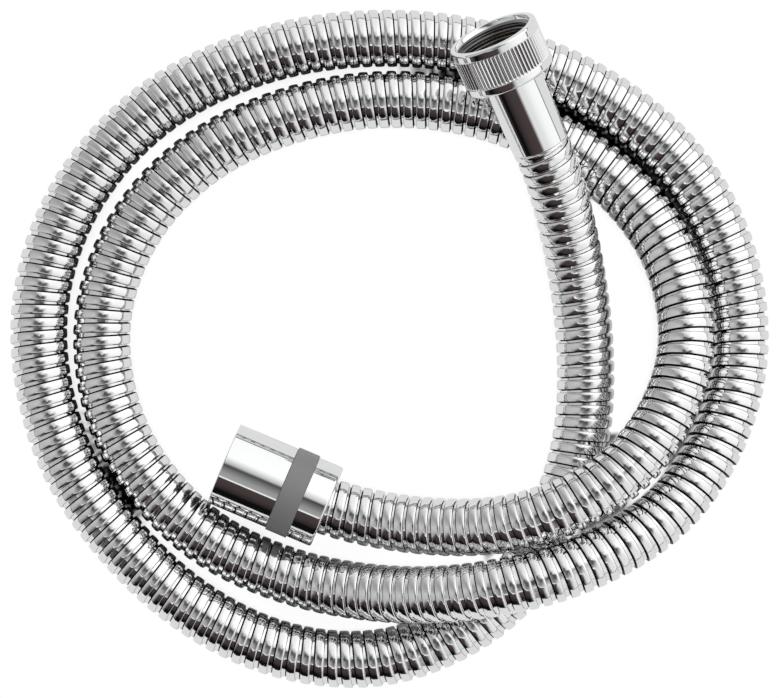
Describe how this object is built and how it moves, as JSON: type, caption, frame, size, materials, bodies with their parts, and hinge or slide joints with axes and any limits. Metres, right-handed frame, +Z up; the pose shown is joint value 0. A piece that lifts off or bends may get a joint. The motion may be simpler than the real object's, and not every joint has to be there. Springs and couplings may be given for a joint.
{
  "type": "shower hose",
  "caption": "Flexible chromed spiral-strip shower hose in a loose coil, with a knurled union nut on one end and a smooth swivel nut with a grey grip band on the other",
  "frame": {"origin": "centre of the coil's box, on the surface that the hose lies on", "axes": "+Z up; +X along the coil's longest side, towards the side where the hose rises to its inner turn; +Y towards the knurled nut"},
  "size_m": [0.2063, 0.1845, 0.0469],
  "materials": {
    "chromed_strip": "bright chromed steel strip",
    "chrome": "polished chrome plate",
    "grey_grip": "matte mid-grey",
    "brass": "machined",
    "spring_steel": "plain",
    "black_rubber": "matte",
    "liner_rubber": "satin",
    "nylon": "plain"
  },
  "bodies": {
    "hose": {"spiral_casing": "chromed_strip", "inner_tube": "liner_rubber", "knurled_end_stem": "brass", "knurled_end_sleeve": "chrome", "knurled_end_clamp_ring": "spring_steel", "swivel_stem": "brass", "swivel_o_ring_front": "black_rubber", "swivel_o_ring_rear": "black_rubber", "swivel_retaining_clip": "spring_steel", "swivel_end_ferrule": "chrome"},
    "knurled_coupling": {"knurled_nut": "chrome", "knurled_nut_washer": "black_rubber", "knurled_slide_ring": "nylon"},
    "anti_twist_bush": {"swivel_bush": "brass"},
    "swivel_coupling": {"swivel_nut": "chrome", "grip_band": "grey_grip", "swivel_nut_washer": "black_rubber", "swivel_slide_ring": "nylon"}
  },
  "joints": [
    {"name": "knurled_nut_spin", "type": "hinge", "parent": "hose", "child": "knurled_coupling", "pos_m": [0.027, 0.0833, 0.0356], "axis": [-0.4001, 0.8503, 0.342], "continuous": true},
    {"name": "anti_twist_spin", "type": "hinge", "parent": "hose", "child": "anti_twist_bush", "pos_m": [-0.0447, -0.031, 0.0121], "axis": [-0.9205, 0.3907, 0], "continuous": true},
    {"name": "swivel_nut_spin", "type": "hinge", "parent": "anti_twist_bush", "child": "swivel_coupling", "pos_m": [-0.0447, -0.031, 0.0121], "axis": [-0.9205, 0.3907, 0], "continuous": true}
  ]
}
